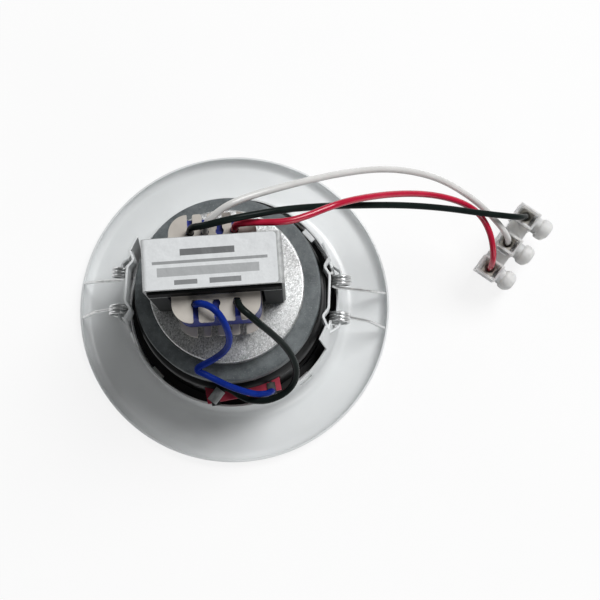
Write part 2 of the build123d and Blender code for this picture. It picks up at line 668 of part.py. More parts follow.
RED_RUN = slot_points(REAR_SLOTS[3], 1) + [
    (4.9, 15.0, 81.4), (7.4, 15.2, 82.4), (11.1, 15.6, 82.4), (16.8, 15.8, 82.0), (22.8, 16.6, 81.5),
    (28.4, 18.8, 80.5), (34.1, 21.8, 79.0), (40.5, 25.3, 76.0), (48.7, 29.0, 70.0), (58.4, 32.8, 62.0),
    (69.4, 35.8, 53.5), (79.6, 37.0, 46.0), (88.4, 36.0, 40.5), (94.7, 33.1, 36.5), (98.8, 27.7, 33.0),
    (100.8, 21.4, 30.0), (101.3, 17.1, 26.2)]
BLUE_RUN = slot_points(FRONT_SLOTS[0], -1) + [
    (-4.8, -12.4, 81.8), (-1.8, -13.6, 82.6), (0.9, -15.9, 81.6), (2.9, -19.1, 77.4), (3.7, -22.0, 70.5),
    (2.6, -24.7, 63.5), (-1.2, -27.2, 57.5), (-5.7, -29.2, 53.2), (-8.8, -30.5, 51.0),
    (-8.9, -31.7, 50.3), (-6.9, -32.4, 49.7), (-3.0, -34.1, 48.4), (1.9, -36.2, 46.2),
    (7.2, -37.9, 42.6), (12.0, -38.8, 38.8), (15.8, -38.2, 35.4)] + BLUE_END
BLACK_SPEAKER_RUN = slot_points(FRONT_SLOTS[2], -1) + [
    (7.6, -13.3, 81.4), (10.2, -15.3, 81.6), (13.8, -17.9, 78.8), (17.8, -20.1, 72.0),
    (21.9, -22.8, 64.0), (25.2, -26.3, 57.0), (26.7, -30.4, 50.6), (25.8, -35.0, 45.2),
    (22.2, -38.8, 41.0), (16.7, -41.2, 37.2), (10.7, -41.2, 34.6), (6.0, -39.3, 33.0),
    (2.4, -36.7, 32.2), SLEEVE_ENTRY, SLEEVE_STOP]

# Terminal strip
row = math.radians(BLOCK_ROW_DEG)
lean = math.radians(BLOCK_LEAN_DEG)
BLOCK = Plane(origin=BLOCK_CENTRE,
              x_dir=(math.cos(row) * math.cos(lean), math.sin(row) * math.cos(lean), -math.sin(lean)),
              z_dir=(math.cos(row) * math.sin(lean), math.sin(row) * math.sin(lean), math.cos(lean)))
POLES = [POLE_PITCH * (k - (POLE_COUNT - 1) / 2) for k in range(POLE_COUNT)]
half_len = BLOCK_LEN / 2


def make_strip():
    body = None
    for x in POLES:
        pole = block(x - POLE_BODY_W / 2, x + POLE_BODY_W / 2, -POLE_BODY_D / 2, POLE_BODY_D / 2,
                     -half_len, half_len)
        body = pole if body is None else body + pole
    for x0, x1 in zip(POLES, POLES[1:]):
        body = body + block(x0, x1, -WEB_D / 2, WEB_D / 2, -WEB_LEN / 2, WEB_LEN / 2)
    head = Pos(0, 0, TOWER_OUT - TOWER_HEAD_LEN) * extrude(Circle(TOWER_R), TOWER_HEAD_LEN)
    head_rims = head.edges().filter_by(GeomType.CIRCLE).sort_by(Axis.Z)
    head = fillet(head_rims[0], TOWER_ROOT_R)
    head = fillet(head.edges().filter_by(GeomType.CIRCLE).sort_by(Axis.Z)[-1], TOWER_END_R)
    neck = extrude(Circle(TOWER_NECK_R), TOWER_OUT - TOWER_HEAD_LEN / 2)
    tower = Rot(-90, 0, 0) * (neck + head)
    for x in POLES:
        for z in (-TOWER_SPOT, TOWER_SPOT):
            body = body + Pos(x, 0, z) * tower
    slit_x = POLES[-2] + POLE_BODY_W / 2
    body = body - block(slit_x, slit_x + SLIT_W, -SLIT_D / 2, SLIT_D / 2, -half_len, half_len)
    cavity = INSERT_SIDE / 2 + FIT
    for x in POLES:
        body = body - block(x - cavity, x + cavity, -cavity, cavity, -half_len, half_len)
        for end in (-1, 1):
            z0, z1 = sorted((end * half_len, end * (half_len - SOCKET_DEPTH)))
            body = body - block(x - SOCKET_W / 2, x + SOCKET_W / 2, -SOCKET_D / 2, SOCKET_D / 2, z0, z1)
            bore = Rot(-90, 0, 0) * extrude(Circle(SCREW_HEAD_R + FIT), BIG)
            body = body - Pos(x, 0, end * SCREW_SPOT) * bore
    return body


def make_inserts():
    half = INSERT_SIDE / 2
    insert = block(-half, half, -half, half, -INSERT_LEN / 2, INSERT_LEN / 2)
    for end in (-1, 1):
        z0, z1 = sorted((end * INSERT_LEN / 2, end * (INSERT_LEN / 2 - INSERT_BORE_DEPTH)))
        insert = insert - disc(INSERT_BORE_R, z0, z1)
        hole = Rot(-90, 0, 0) * extrude(Circle(SCREW_R + SLIP), BIG)
        insert = insert - Pos(0, 0, end * SCREW_SPOT) * hole
    return Compound(children=[Pos(x, 0, 0) * insert for x in POLES])


def make_screws():
    shank = Pos(0, 0, SCREW_TIP) * extrude(Circle(SCREW_R), SCREW_HEAD_Y - SCREW_TIP)
    head = Pos(0, 0, SCREW_HEAD_Y) * extrude(Circle(SCREW_HEAD_R), SCREW_HEAD_H)
    top = SCREW_HEAD_Y + SCREW_HEAD_H
    screw = shank + head - block(-BIG, BIG, -DRIVE_W / 2, DRIVE_W / 2, top - DRIVE_DEPTH, BIG)
    screw = Rot(-90, 0, 0) * screw
    return Compound(children=[
        Pos(x, 0, end * SCREW_SPOT) * screw for x in POLES for end in (-1, 1)])


parts["terminal_housing"] = BLOCK * make_strip()
parts["terminal_inserts"] = BLOCK * make_inserts()
parts["terminal_screws"] = BLOCK * make_screws()


def socket_points(x):
    mouth = BLOCK.from_local_coords(Vector(x, 0, half_len))
    seat = BLOCK.from_local_coords(Vector(x, 0, INSERT_LEN / 2 - INSERT_BORE_DEPTH / 2))
    return [tuple(mouth), tuple(seat)]


parts["white_lead"] = tube("white_lead", WHITE_RUN + socket_points(POLES[1]), LEAD_D)
parts["black_lead"] = tube("black_lead", BLACK_RUN + socket_points(POLES[0]), LEAD_D)
parts["red_lead"] = tube("red_lead", RED_RUN + socket_points(POLES[2]), LEAD_D)
parts["blue_speaker_lead"] = tube("blue_speaker_lead", BLUE_RUN, LEAD_D)
parts["black_speaker_lead"] = tube("black_speaker_lead", BLACK_SPEAKER_RUN, LEAD_D)
sleeve_step = Vector(*SLEEVE_TO) - Vector(*SLEEVE_FROM)
sleeve_plane = Plane(origin=SLEEVE_FROM, z_dir=sleeve_step)
parts["tag_sleeve"] = sleeve_plane * extrude(Circle(SLEEVE_R) - Circle(SLEEVE_BORE_R), sleeve_step.length)

for name, shape in parts.items():
    export_step(shape, f"parts/{name}.step")
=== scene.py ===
import json
import math

import bmesh
import bpy
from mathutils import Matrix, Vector


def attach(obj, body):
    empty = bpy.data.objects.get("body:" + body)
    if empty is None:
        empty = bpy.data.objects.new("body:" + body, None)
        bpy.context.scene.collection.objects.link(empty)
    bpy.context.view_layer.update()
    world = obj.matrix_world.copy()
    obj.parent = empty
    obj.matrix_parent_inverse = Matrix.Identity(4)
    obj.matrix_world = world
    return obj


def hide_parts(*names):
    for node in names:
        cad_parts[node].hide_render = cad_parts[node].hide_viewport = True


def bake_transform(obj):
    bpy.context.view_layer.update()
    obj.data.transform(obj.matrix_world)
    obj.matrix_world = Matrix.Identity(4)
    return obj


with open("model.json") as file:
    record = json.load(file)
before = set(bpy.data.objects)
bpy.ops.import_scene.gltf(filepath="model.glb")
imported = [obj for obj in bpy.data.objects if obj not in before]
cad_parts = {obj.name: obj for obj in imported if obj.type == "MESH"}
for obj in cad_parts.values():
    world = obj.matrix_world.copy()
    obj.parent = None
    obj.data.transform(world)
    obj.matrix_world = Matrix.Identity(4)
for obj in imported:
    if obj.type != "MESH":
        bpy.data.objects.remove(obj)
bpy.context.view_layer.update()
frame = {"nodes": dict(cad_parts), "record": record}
nodes = frame["nodes"]
scene = bpy.context.scene

# Sizes are in millimetres, unless a comment says metres, and this factor makes them metres
MM = 0.001
FULL_TURN = 360.0
HALF_TURN = 180.0
QUARTER_TURN = 90.0

# Trim housing
SHEET = 0.9
FLANGE_R = 63.2
LIP_H = 4.5
LIP_BEND_R = 4.05
NECK_BASE_R = 43.4
NECK_SLOPE = 0.1
NECK_BEND_R = 5.45
BEND_STEPS = 14
FLANGE_RINGS = (56.5, 54.5, 52.0, 50.0)
NECK_LOW_Z = 7.2
NECK_HIGH_Z = 15.0
RIM_Z = 18.0
EAR_TOP_Z = 45.0
EAR_HALF_W = 18.2
EAR_STEP = 1.0
WINDOW_HALF_W = 10.4
WINDOW_LOW_Z = 20.0
WINDOW_LEVELS = (22.5, 25.0, 29.0, 33.0)
BAND_LOW_Z = 37.0
BAND_FLAT_Y = 6.3
BAND_FLAT_SINK = 1.45
BAND_DIMPLE_Y = 9.3
BAND_DIMPLE_SINK = 3.6
BAND_JOIN_Y = 13.0
BAND_END_Y = 13.8
BAND_ROUND = 0.9
PIN_ROOT_Y = 13.4
PIN_REACH = 5.1
PIN_LAP = 0.9
PIN_HALF_H = 2.3
PIN_ROUND = 1.2
TAB_COUNT = 4
TAB_FIRST_DEG = 45.0
TAB_HALF_DEG = 4.1
TAB_W = 6.0
TAB_GRIP = 0.8
TAB_ROOT_GAP = 0.15
TAB_Z = 8.4
TAB_HOLE_H = 3.6
RING_STEP_DEG = 1.6
HOUSING_EDGE = 0.22
HOUSING_EDGE_STEPS = 2

# Clip springs
WIRE_D = 1.2
COIL_R = 3.6
COIL_PITCH = 1.3
COIL_FULL_TURNS = 3
COIL_REACH = 1.55
COIL_Z = 28.0
COIL_OUTER_Y = 9.4
COIL_POINTS = 24
TAIL_LEN = 4.2
ARM_DROP_DEG = 34.0
ARM_KINK_IN = 8.7
ARM_KINK_Y = 6.1
ARM_KINK_Z = 14.5
ARM_TIP_IN = 2.2
ARM_TIP_Y = 7.1
ARM_TIP_Z = 5.4
ARM_SHARES = (0.3, 0.6, 0.93)
TIP_SHARES = (0.1, 0.5, 1.0)
SPRING_STEPS = 2

# Front grille, with finer holes than its solid
GRILLE_SHEET = 0.8
GRILLE_Z = 3.0
GRILLE_GAP = 0.08
GRILLE_TOP_Z = 8.0
GRILLE_BEND_R = 1.0
GRILLE_BEND_STEPS = 5
GRILLE_POINTS = 144
GRILLE_EDGE = 0.12
GRILLE_EDGE_STEPS = 1
HOLE_PITCH = 3.0
HOLE_R = 1.05
HOLE_FIELD_R = 34.6
HOLE_POINTS = 12
KEY_DIGITS = 3

# Driver
BASKET_GAP = 0.4
BASKET_FLANGE_W = 4.0
BASKET_WALL_LEAN = 0.7
BASKET_T = 1.0
BASKET_SHOULDER_Z = 29.9
GASKET_INSET = 0.2
GASKET_W = 4.5
ROLL_INSET = 0.4
ROLL_W = 4.4
ROLL_DEPTH = 2.4
ROLL_CUT = 0.02
ROLL_STEPS = 24
LAND_W = 1.4
SURROUND_T = 0.5
SURROUND_Z = 6.8
# Heights past the roll for the surround's outer and inner halves
OUTER_CONE_Z = -0.69
INNER_BASE_Z = 3.785
SPIDER_T = 0.4
SPIDER_IN_R = 10.25
SPIDER_LAND_R = 13.0
SPIDER_FOOT_R = 25.4
SPIDER_RIM_IN_R = 26.2
SPIDER_RIM_OUT_R = 30.0
SPIDER_Z = 25.2
SPIDER_WAVE = 1.2
SPIDER_WAVES = 4
SPIDER_WAVE_STEPS = 12
SUSPENSION_POINTS = 128
BOARD_DEG = -77.0
TINSEL_D = 1.0
TINSEL_STEPS = 12

# Magnet motor
TOP_PLATE_T = 3.5
TOP_PLATE_STEP = 3.0
TOP_PLATE_HOLE_R = 11.3
FERRITE_T = 10.0
FERRITE_STEP = 1.7
FERRITE_HOLE_R = 17.0
FERRITE_ROUND = 0.8
FERRITE_ROUND_DEG = 70.0
FERRITE_ROUND_STEPS = 4
FERRITE_LAND_IN = 1.0
BACK_PLATE_T = 6.0
BACK_PLATE_STEP = 6.2
BACK_PLATE_ROUND = 0.8
BACK_PLATE_ROUND_STEPS = 8
PLATE_BREAK = 0.3
PLATE_BREAK_STEPS = 3
POLE_R = 9.5
POLE_END_Z = 30.6
AXIS_R = 0.001
TURNED_POINTS = 192

# Transformer, in its own turned frame
TF_X = -2.1
TF_Y = 0.8
TF_DEG = 6.0
STRAP_T = 0.9
CORE_H = 33.5
CORE_YOKE = 6.0
UPPER_FLANGE_Z = 76.8
WINDING_GAP = 0.15
REAR_SLOT_IN_X = 2.5
REAR_SLOT_OUT_X = 7.5
FRONT_SLOT_X = 7.0

# Terminal strip, in its own leaning frame
BLOCK_CENTRE = (109.4, 27.99, 12.91)
BLOCK_ROW_DEG = -123.5
BLOCK_LEAN_DEG = 12.0
BLOCK_LEN = 19.0
POLE_PITCH = 12.4
LEAD_SEAT = 2.7

# Leads
LEAD_D = 2.4
LEAD_START = 12.3
LEAD_RISE = 2.95
LEAD_STEPS = 8
SPLINE_ORDER = 3
WIRE_ROUNDNESS = 6

# Mesh work: welding distances in metres, and angles from which an edge is sharp
WELD_TURNED = 1e-7
WELD_SOLID = 1e-6
WELD_SHEET = 2e-6
FLAT_DEG = 1.0
SMOOTH_DEG = 35.0
SOLID_EDGE_DEG = 40.0
SOLID_EDGE_STEPS = 2
SHEET_EDGE_DEG = 50.0
SOFT_EDGE_DEG = 60.0
CORNER_SHARE = 0.45
CORNER_STEPS = 4


def neck_r(z):
    return NECK_BASE_R - NECK_SLOPE * (z - SHEET / 2)


def wall_x(y, z):
    return math.sqrt(neck_r(z) ** 2 - y ** 2)


# Derived places of the housing and the springs
FLANGE_MID_Z = SHEET / 2
TAB_MID_Z = TAB_Z + SHEET / 2
TAB_HOLE_LOW_Z = TAB_Z + SHEET
TAB_HOLE_HIGH_Z = TAB_HOLE_LOW_Z + TAB_HOLE_H
TAB_ANGLES = [TAB_FIRST_DEG + k * FULL_TURN / TAB_COUNT for k in range(TAB_COUNT)]
NECK_LEVELS = [NECK_LOW_Z, TAB_HOLE_LOW_Z, TAB_HOLE_HIGH_Z, NECK_HIGH_Z, RIM_Z]
NECK_TOP_R = neck_r(EAR_TOP_Z)
BAND_MID_Z = (BAND_LOW_Z + EAR_TOP_Z) / 2
EAR_LEVELS = [RIM_Z, WINDOW_LOW_Z, *WINDOW_LEVELS, BAND_LOW_Z, BAND_MID_Z, EAR_TOP_Z]
BAND_PLAN = [(NECK_TOP_R - BAND_FLAT_SINK, BAND_FLAT_Y), (NECK_TOP_R - BAND_DIMPLE_SINK, BAND_DIMPLE_Y),
             (wall_x(BAND_JOIN_Y, BAND_MID_Z), BAND_JOIN_Y), (wall_x(BAND_END_Y, BAND_MID_Z), BAND_END_Y)]
COIL_X = neck_r(COIL_Z) + COIL_REACH
COIL_TURNS = COIL_FULL_TURNS + (QUARTER_TURN - ARM_DROP_DEG) / FULL_TURN
PIN_BEND_Y = COIL_OUTER_Y + WIRE_D / 2 + PIN_LAP
PIN_PLAN = [(wall_x(PIN_ROOT_Y, COIL_Z), PIN_ROOT_Y), (COIL_X, PIN_BEND_Y), (COIL_X, PIN_BEND_Y - PIN_REACH)]
ARM_KINK = (FLANGE_R - ARM_KINK_IN, ARM_KINK_Y, ARM_KINK_Z)
ARM_TIP = (FLANGE_R - ARM_TIP_IN, ARM_TIP_Y, ARM_TIP_Z)

# Derived places of the driver, the motor and the transformer
GRILLE_R = neck_r(GRILLE_TOP_Z) - SHEET / 2 - GRILLE_GAP
BASKET_FLANGE_R = GRILLE_R - GRILLE_SHEET - BASKET_GAP
BASKET_WALL_R = BASKET_FLANGE_R - BASKET_FLANGE_W - BASKET_WALL_LEAN
TAB_IN_R = BASKET_FLANGE_R - TAB_GRIP
SURROUND_OUT_R = BASKET_FLANGE_R - GASKET_INSET
ROLL_OUT_R = SURROUND_OUT_R - GASKET_W - ROLL_INSET
ROLL_IN_R = ROLL_OUT_R - ROLL_W
LAND_IN_R = ROLL_IN_R - LAND_W
SURROUND_MID_Z = SURROUND_Z + SURROUND_T / 2
SHOULDER_TOP_Z = BASKET_SHOULDER_Z + BASKET_T / 2
SPIDER_RIM_Z = BASKET_SHOULDER_Z - BASKET_T / 2 - SPIDER_T / 2
FERRITE_R = BASKET_WALL_R - FERRITE_STEP
TOP_PLATE_R = FERRITE_R - TOP_PLATE_STEP
BACK_PLATE_R = FERRITE_R - BACK_PLATE_STEP
FERRITE_Z = SHOULDER_TOP_Z + TOP_PLATE_T
BACK_PLATE_Z = FERRITE_Z + FERRITE_T
YOKE_TOP_Z = BACK_PLATE_Z + BACK_PLATE_T
CORE_JOINT_Z = YOKE_TOP_Z + STRAP_T + CORE_H - CORE_YOKE
WINDING_TOP_Z = UPPER_FLANGE_Z - WINDING_GAP


def metres(points):
    return [Vector(p) * MM for p in points]


def turned(x, y, degrees):
    turn = math.radians(degrees)
    return x * math.cos(turn) - y * math.sin(turn), x * math.sin(turn) + y * math.cos(turn)


# Camera at the photograph's angle
CAM_POS = (28.99, -65.03, 400.0)
CAM_TILT_DEG = 9.8
CAM_TURN_DEG = 2.0
CAM_LENS = 58.83
CAM_SENSOR_W = 36.0
cam_data = bpy.data.cameras.new("camera")
cam_data.lens = CAM_LENS
cam_data.sensor_width = CAM_SENSOR_W
camera = bpy.data.objects.new("camera", cam_data)
camera.location = Vector(CAM_POS) * MM
camera.rotation_euler = (math.radians(CAM_TILT_DEG), 0.0, math.radians(CAM_TURN_DEG))
scene.collection.objects.link(camera)
scene.camera = camera
scene.view_settings.view_transform = "Standard"


# Shader building
class Shader:
    def __init__(self, name):
        self.mat = bpy.data.materials.new(name)
        self.mat.use_nodes = True
        self.tree = self.mat.node_tree
        self.bsdf = self.tree.nodes["Principled BSDF"]
        self.coord = self.tree.nodes.new("ShaderNodeTexCoord").outputs["Object"]

    def put(self, socket, value):
        if isinstance(value, bpy.types.NodeSocket):
            self.tree.links.new(value, socket)
        else:
            socket.default_value = value

    def node(self, kind, inputs=None, **props):
        made = self.tree.nodes.new(kind)
        for key, value in props.items():
            setattr(made, key, value)
        for key, value in (inputs or {}).items():
            self.put(made.inputs[key], value)
        return made

    def set(self, **values):
        for key, value in values.items():
            self.put(self.bsdf.inputs[key.replace("_", " ")], value)
        return self

    def math(self, operation, a, b=0.0):
        made = self.node("ShaderNodeMath", {0: a, 1: b}, operation=operation)
        return made.outputs[0]

    def noise(self, scale, detail=3.0, rough=0.55):
        made = self.node("ShaderNodeTexNoise", {
            "Vector": self.coord, "Scale": scale, "Detail": detail, "Roughness": rough})
        return made.outputs["Fac"]

    def cells(self, scale):
        made = self.node("ShaderNodeTexVoronoi", {"Vector": self.coord, "Scale": scale})
        return made.outputs["Color"]

    def ramp(self, fac, stops):
        made = self.node("ShaderNodeValToRGB", {"Fac": fac})
        ends = made.color_ramp.elements
        while len(ends) < len(stops):
            ends.new(0.5)
        for end, (place, tone) in zip(ends, stops):
            colour = tone if hasattr(tone, "__len__") else (tone, tone, tone)
            end.position = place
            end.color = (*colour, 1.0)
        return made.outputs["Color"]

    def spread(self, fac, low, high):
        return self.ramp(fac, [(0.3, low), (0.7, high)])

    def mix(self, fac, a, b):
        made = self.node("ShaderNodeMix", {"Factor": fac}, data_type="RGBA")
        sockets = [s for s in made.inputs if s.type == "RGBA"]
        for socket, value in zip(sockets, (a, b)):
            self.put(socket, value if isinstance(value, bpy.types.NodeSocket) else (*value, 1.0))
        return [s for s in made.outputs if s.type == "RGBA"][0]

    def bump(self, height, strength, distance):
        made = self.node("ShaderNodeBump", {"Height": height, "Strength": strength, "Distance": distance})
        return self.set(Normal=made.outputs["Normal"])

    def transformer_axes(self):
        made = self.node("ShaderNodeMapping", {
            "Vector": self.coord, "Location": (TF_X * MM, TF_Y * MM, 0.0),
            "Rotation": (0.0, 0.0, math.radians(TF_DEG))}, vector_type="TEXTURE")
        return self.node("ShaderNodeSeparateXYZ", {"Vector": made.outputs["Vector"]}).outputs

    def wave(self, along, pitch):
        return self.math("SINE", self.math("MULTIPLY", along, 2 * math.pi / (pitch * MM)))

    def beyond(self, along, centre, half):
        offset = self.math("ABSOLUTE", self.math("SUBTRACT", along, centre * MM))
        return self.math("SUBTRACT", offset, half * MM)


# Materials, with bump depths in metres
FINE_DEPTH = 0.0001


def surface(name, low, high, scale, rough, metallic=0.0, bump=0.15):
    shiny_share = 0.85
    dull_share = 1.2
    bump_fineness = 3
    sh = Shader(name)
    fac = sh.noise(scale)
    sh.set(Base_Color=sh.spread(fac, low, high), Metallic=metallic)
    dull = min(1.0, rough * dull_share)
    sh.set(Roughness=sh.ramp(fac, [(0.25, rough * shiny_share), (0.75, dull)]))
    return sh.bump(sh.noise(scale * bump_fineness), bump, FINE_DEPTH).mat


def pvc(name, low, high, shine=0.5):
    sh = Shader(name)
    fac = sh.noise(scale=160.0)
    sh.set(Base_Color=sh.spread(fac, low, high), Roughness=sh.spread(fac, low=0.13, high=0.19))
    sh.set(Specular_IOR_Level=shine)
    return sh.bump(sh.noise(scale=700.0), strength=0.06, distance=FINE_DEPTH).mat


def enamel():
    sh = Shader("white_enamel")
    broad = sh.noise(scale=60.0)
    sh.set(Base_Color=sh.spread(broad, low=(0.70, 0.72, 0.725), high=(0.73, 0.75, 0.755)))
    sh.set(Roughness=sh.ramp(broad, [(0.2, 0.3), (0.8, 0.38)]))
    sh.set(Coat_Weight=0.15, Coat_Roughness=0.1)
    return sh.bump(sh.noise(scale=900.0), strength=0.04, distance=FINE_DEPTH).mat


def zinc():
    dark = (0.33, 0.34, 0.34)
    middle = (0.57, 0.58, 0.58)
    light = (0.86, 0.87, 0.87)
    half = 0.5
    sh = Shader("zinc_plate")
    grain = sh.cells(scale=2300.0)
    fine = sh.noise(scale=2600.0, detail=4.0)
    tone = sh.math("ADD", sh.math("MULTIPLY", grain, half), sh.math("MULTIPLY", fine, half))
    sh.set(Base_Color=sh.ramp(tone, [(0.25, dark), (0.5, middle), (0.75, light)]), Metallic=1.0)
    sh.set(Roughness=sh.ramp(tone, [(0.2, 0.5), (0.8, 0.36)]))
    return sh.bump(tone, strength=0.5, distance=0.00015).mat


def ferrite():
    dark = (0.062, 0.074, 0.078)
    light = (0.135, 0.152, 0.158)
    speck = (0.24, 0.26, 0.27)
    sh = Shader("ferrite_grey")
    base = sh.ramp(sh.noise(scale=260.0, detail=5.0, rough=0.65), [(0.32, dark), (0.68, light)])
    specks = sh.ramp(sh.noise(scale=2200.0, detail=2.0), [(0.6, 0.0), (0.75, 0.6)])
    sh.set(Base_Color=sh.mix(specks, base, speck), Roughness=0.55)
    return sh.bump(sh.noise(scale=900.0), strength=0.25, distance=0.0002).mat


def laminations():
    varnish_dark = (0.0015, 0.002, 0.002)
    varnish_light = (0.005, 0.0055, 0.0055)
    lit_lower_stack = (0.028, 0.030, 0.030)
    bare_steel = (0.55, 0.57, 0.57)
    sheet_pitch = 0.5
    seam_half = 0.25
    sh = Shader("laminated_core")
    axes = sh.transformer_axes()
    base = sh.ramp(sh.noise(scale=350.0), [(0.35, varnish_dark), (0.8, varnish_light)])
    # Painted light and shade: below the joint the lower stack is painted lighter, as light on the legs,
    # while the upper stack stays darker, as shade under the strap
    lower = sh.math("LESS_THAN", axes["Z"], CORE_JOINT_Z * MM)
    base = sh.mix(lower, base, lit_lower_stack)
    seam = sh.math("LESS_THAN", sh.beyond(axes["Z"], CORE_JOINT_Z, seam_half), 0.0)
    sh.set(Base_Color=sh.mix(seam, base, bare_steel), Roughness=0.5, Specular_IOR_Level=0.06)
    return sh.bump(sh.wave(axes["Y"], sheet_pitch), strength=0.4, distance=0.00012).mat


def strap_steel():
    hatch_pitch = 0.7
    hatch_share = 0.22
    sh = Shader("strap_steel")
    axes = sh.transformer_axes()
    first = sh.wave(sh.math("ADD", axes["X"], axes["Y"]), hatch_pitch)
    second = sh.wave(sh.math("SUBTRACT", axes["X"], axes["Y"]), hatch_pitch)
    hatch = sh.math("MAXIMUM", first, second)
    tone = sh.math("ADD", sh.math("MULTIPLY", hatch, hatch_share), sh.noise(scale=700.0))
    sh.set(Base_Color=sh.ramp(tone, [(0.3, (0.26, 0.27, 0.27)), (0.75, (0.46, 0.47, 0.47))]))
    sh.set(Metallic=0.5, Roughness=0.6)
    return sh.bump(hatch, strength=0.25, distance=0.00008).mat


# Plain bars on the sticker: centre x, centre y, half width, half height, darkness
STICKER_BARS = [(-1.5, 4.1, 9.0, 1.1, 0.8), (-0.8, 0.9, 19.0, 0.5, 0.6), (-1.5, -2.3, 16.8, 1.5, 0.45),
                (-9.0, -5.9, 3.8, 0.8, 0.7), (4.0, -5.9, 5.2, 0.9, 0.7)]


def sticker():
    ink = (0.02, 0.022, 0.024)
    broad_share = 3.0
    sh = Shader("sticker")
    axes = sh.transformer_axes()
    printed = 0.0
    for cx, cy, hx, hy, dark in STICKER_BARS:
        outside = sh.math("MAXIMUM", sh.beyond(axes["X"], cx, hx), sh.beyond(axes["Y"], cy, hy))
        inside = sh.math("LESS_THAN", outside, 0.0)
        printed = sh.math("MAXIMUM", printed, sh.math("MULTIPLY", inside, dark))
    paper = sh.spread(sh.noise(scale=1200.0), low=(0.70, 0.72, 0.73), high=(0.75, 0.77, 0.78))
    sh.set(Base_Color=sh.mix(printed, paper, ink), Roughness=0.35)
    broad = sh.math("MULTIPLY", sh.noise(scale=70.0, detail=2.0), broad_share)
    creases = sh.math("ADD", broad, sh.noise(scale=260.0))
    return sh.bump(creases, strength=0.35, distance=0.0006).mat


def milky():
    sh = Shader("milky_plastic")
    fac = sh.noise(scale=220.0)
    sh.set(Base_Color=sh.spread(fac, low=(0.76, 0.76, 0.745), high=(0.81, 0.81, 0.795)))
    sh.set(Roughness=0.5, Transmission_Weight=0.2, IOR=1.45)
    sh.set(Subsurface_Weight=1.0, Subsurface_Radius=(0.008, 0.0078, 0.0074), Subsurface_Scale=1.0)
    return sh.bump(sh.noise(scale=500.0), strength=0.05, distance=FINE_DEPTH).mat


MATERIALS = {
    "white_enamel": enamel(),
    "black_steel": surface("black_steel", low=(0.006, 0.0065, 0.007), high=(0.012, 0.0125, 0.013),
                           scale=300.0, rough=0.5),
    "foam": surface("foam", low=0.02, high=0.05, scale=900.0, rough=0.9, bump=0.6),
    "surround_rubber": surface("surround_rubber", low=0.015, high=0.025, scale=300.0, rough=0.6),
    "cone_paper": surface("cone_paper", low=(0.025, 0.025, 0.027), high=(0.05, 0.05, 0.052),
                          scale=500.0, rough=0.85, bump=0.5),
    "spider_cloth": surface("spider_cloth", low=(0.42, 0.28, 0.1), high=(0.52, 0.36, 0.15),
                            scale=900.0, rough=0.9, bump=0.6),
    "former_paper": surface("former_paper", low=(0.4, 0.28, 0.16), high=(0.5, 0.36, 0.2),
                            scale=500.0, rough=0.8),
    "copper": surface("copper", low=(0.55, 0.2, 0.07), high=(0.72, 0.3, 0.12),
                      scale=600.0, rough=0.35, metallic=0.9),
    "zinc": zinc(),
    "ferrite": ferrite(),
    "red_board": surface("red_board", low=(0.30, 0.012, 0.035), high=(0.40, 0.018, 0.05),
                         scale=500.0, rough=0.55),
    "tinned": surface("tinned", low=(0.05, 0.05, 0.05), high=(0.12, 0.12, 0.115),
                      scale=500.0, rough=0.45, metallic=1.0),
    "grey_shrink": surface("grey_shrink", low=(0.14, 0.15, 0.15), high=(0.22, 0.23, 0.23),
                           scale=500.0, rough=0.35),
    "lamination": laminations(),
    "cream": surface("cream", low=(0.50, 0.465, 0.42), high=(0.56, 0.525, 0.475),
                     scale=260.0, rough=0.45, bump=0.08),
    "blue_tape": surface("blue_tape", low=(0.003, 0.010, 0.10), high=(0.010, 0.030, 0.34),
                         scale=900.0, rough=0.4, bump=0.4),
    "strap_steel": strap_steel(),
    "sticker": sticker(),
    "white_pvc": pvc("white_pvc", low=(0.59, 0.588, 0.575), high=(0.66, 0.657, 0.645)),
    "black_pvc": pvc("black_pvc", low=(0.007, 0.011, 0.010), high=(0.011, 0.016, 0.015), shine=0.05),
    "red_pvc": pvc("red_pvc", low=(0.40, 0.008, 0.032), high=(0.50, 0.013, 0.047)),
    "blue_pvc": pvc("blue_pvc", low=(0.005, 0.018, 0.18), high=(0.010, 0.034, 0.28), shine=0.03),
    "milky": milky(),
    # Clamp steel is painted lighter than its own tone, as painted light in the shaded mouths of the strip
    "clamp_steel": surface("clamp_steel", low=(0.60, 0.57, 0.51), high=(0.70, 0.67, 0.60),
                           scale=500.0, rough=0.45, metallic=0.2),
    "spring_wire": surface("spring_wire", low=(0.58, 0.59, 0.59), high=(0.78, 0.79, 0.79),
                           scale=400.0, rough=0.32, metallic=0.88),
}


def paint(thing, slot):
    thing.data.materials.clear()
    thing.data.materials.append(MATERIALS[slot])


slot_of = {s["node"]: s["material_slot"] for s in frame["record"]["subparts"]}
for name, node in nodes.items():
    paint(node, slot_of[name])


# Piece building
def dress(piece, slot):
    paint(piece, slot)


def piece_from(name, slot, mesh, body, replaced):
    piece = bpy.data.objects.new(name, mesh)
    scene.collection.objects.link(piece)
    dress(piece, slot)
    if body:
        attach(piece, body)
    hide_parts(replaced)
    return piece


def smooth(mesh, degrees=SMOOTH_DEG):
    mesh.shade_smooth()
    mesh.set_sharp_from_angle(angle=math.radians(degrees))
    return mesh


def mesh_from(bm, name):
    bmesh.ops.recalc_face_normals(bm, faces=bm.faces)
    mesh = bpy.data.meshes.new(name)
    bm.to_mesh(mesh)
    bm.free()
    return mesh


def vert(bm, x, y, z):
    return bm.verts.new((x * MM, y * MM, z * MM))


def ring_of(bm, r, z, angles):
    return [vert(bm, *turned(r, 0.0, a), z) for a in angles]


def even_angles(count):
    return [FULL_TURN * k / count for k in range(count)]


def join(bm, here, after, closed=True, skip=()):
    count = len(here)
    for k in range(count if closed else count - 1):
        n = (k + 1) % count
        if k not in skip:
            bm.faces.new((here[k], here[n], after[n], after[k]))


